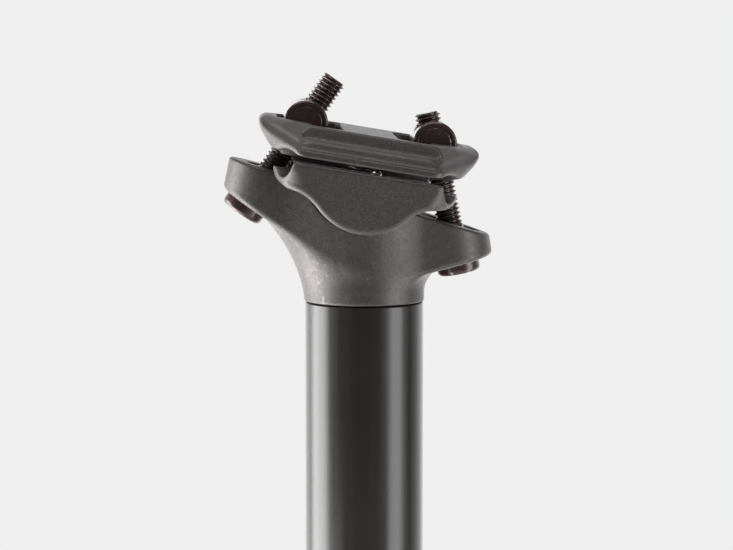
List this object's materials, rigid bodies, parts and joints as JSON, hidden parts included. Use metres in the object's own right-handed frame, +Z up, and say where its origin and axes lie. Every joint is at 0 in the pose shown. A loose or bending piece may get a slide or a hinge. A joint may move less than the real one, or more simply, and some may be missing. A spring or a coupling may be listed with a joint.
{
  "type": "suspension seatpost",
  "caption": "Telescopic suspension seatpost with a sprung sliding tube and a forged head that clamps two saddle rails with two bolts and barrel nuts.",
  "frame": {"origin": "on the post's axis, at its bottom end plane", "axes": "+Z up along the post, +X towards the front of the bicycle, +Y to its left"},
  "size_m": [0.061, 0.053, 0.3686],
  "materials": {
    "forged_alloy": "matte bead-blasted dark grey anodised forging",
    "gloss_anodised": "gloss black anodised drawn tube",
    "satin_anodised": "satin black anodised",
    "black_steel": "black oxide steel, slightly glossy",
    "spring_steel": "bright drawn spring wire",
    "brass": "machined brass",
    "bearing_polymer": "plain natural bearing polymer",
    "rubber": "matte black rubber"
  },
  "bodies": {
    "post": {"post_tube": "satin_anodised", "collar": "satin_anodised", "wiper_seal": "rubber", "upper_guide_bush": "bearing_polymer", "retaining_ring": "spring_steel"},
    "spring_seat": {"spring_seat": "bearing_polymer", "elastomer_bumper": "rubber", "main_spring": "spring_steel"},
    "preload_plug": {"preload_plug": "satin_anodised"},
    "slider": {"stanchion_tube": "gloss_anodised", "stanchion_foot": "satin_anodised", "lower_guide_bush": "bearing_polymer", "top_out_bumper": "rubber", "anti_rotation_key_1": "brass", "anti_rotation_key_2": "brass", "anti_rotation_key_3": "brass", "head": "forged_alloy"},
    "cradle": {"lower_cradle": "forged_alloy", "clamp_spring": "spring_steel"},
    "upper_clamp": {"upper_clamp": "forged_alloy"},
    "rear_nut": {"rear_barrel_nut": "black_steel"},
    "front_nut": {"front_barrel_nut": "black_steel"},
    "rear_swivel": {"rear_swivel_washer": "black_steel"},
    "rear_washer": {"rear_flat_washer": "black_steel"},
    "rear_bolt": {"rear_bolt": "black_steel"},
    "front_swivel": {"front_swivel_washer": "black_steel"},
    "front_washer": {"front_flat_washer": "black_steel"},
    "front_bolt": {"front_bolt": "black_steel"}
  },
  "joints": [
    {"name": "suspension_travel", "type": "slide", "parent": "post", "child": "slider", "axis": [0, 0, -1], "range_m": [0, 0.05], "stiffness_N_per_m": 15000, "deforming": ["main_spring"]},
    {"name": "preload_turn", "type": "hinge", "parent": "spring_seat", "child": "preload_plug", "pos_m": [0, 0, 0], "axis": [0, 0, -1], "range_deg": [0, 1440.5]},
    {"name": "preload_advance", "type": "slide", "parent": "post", "child": "spring_seat", "axis": [0, 0, 1], "range_m": [0, 0.006], "deforming": ["main_spring"]},
    {"name": "clamp_tilt", "type": "hinge", "parent": "slider", "child": "cradle", "pos_m": [0, 0, 0.3478], "axis": [0, 1, 0], "range_deg": [-5, 19]},
    {"name": "clamp_open", "type": "slide", "parent": "cradle", "child": "upper_clamp", "axis": [0.165, 0, 0.9863], "range_m": [0, 0.003], "deforming": ["clamp_spring"]},
    {"name": "rear_nut_turn", "type": "hinge", "parent": "upper_clamp", "child": "rear_nut", "pos_m": [-0.01347, 0, 0.35817], "axis": [0, 1, 0], "range_deg": [-16.18, 4.33]},
    {"name": "front_nut_turn", "type": "hinge", "parent": "upper_clamp", "child": "front_nut", "pos_m": [0.01572, 0, 0.35328], "axis": [0, 1, 0], "range_deg": [-18.29, 4.89]},
    {"name": "rear_bolt_swing", "type": "hinge", "parent": "slider", "child": "rear_swivel", "pos_m": [-0.02682, 0, 0.33931], "axis": [0, 1, 0], "range_deg": [-0.87, 3.02]},
    {"name": "rear_bolt_lean", "type": "hinge", "parent": "rear_swivel", "child": "rear_washer", "pos_m": [-0.02682, 0, 0.33931], "axis": [0, 1, 0], "range_deg": [-2.22, 0.1]},
    {"name": "rear_bolt_spin", "type": "hinge", "parent": "rear_washer", "child": "rear_bolt", "pos_m": [-0.02682, 0, 0.33931], "axis": [0.5779, 0, 0.8161], "continuous": true},
    {"name": "front_bolt_swing", "type": "hinge", "parent": "slider", "child": "front_swivel", "pos_m": [0.0214, 0, 0.32586], "axis": [0, 1, 0], "range_deg": [-0.31, 0.91]},
    {"name": "front_bolt_lean", "type": "hinge", "parent": "front_swivel", "child": "front_washer", "pos_m": [0.0214, 0, 0.32586], "axis": [0, 1, 0], "range_deg": [-0.1, 2.25]},
    {"name": "front_bolt_spin", "type": "hinge", "parent": "front_washer", "child": "front_bolt", "pos_m": [0.0214, 0, 0.32586], "axis": [-0.2028, 0, 0.9792], "continuous": true}
  ],
  "couplings": [
    {"joint": "preload_turn", "follows": "preload_advance", "rad_per_m": 4188.8},
    {"joint": "rear_nut_turn", "follows": "clamp_tilt", "ratio": -0.8466},
    {"joint": "front_nut_turn", "follows": "clamp_tilt", "ratio": -0.9576},
    {"joint": "rear_bolt_swing", "follows": "clamp_tilt", "ratio": 0.1534},
    {"joint": "front_bolt_swing", "follows": "clamp_tilt", "ratio": 0.0424},
    {"joint": "rear_bolt_lean", "follows": "clamp_open", "rad_per_m": -12.325},
    {"joint": "front_bolt_lean", "follows": "clamp_open", "rad_per_m": 12.48}
  ]
}
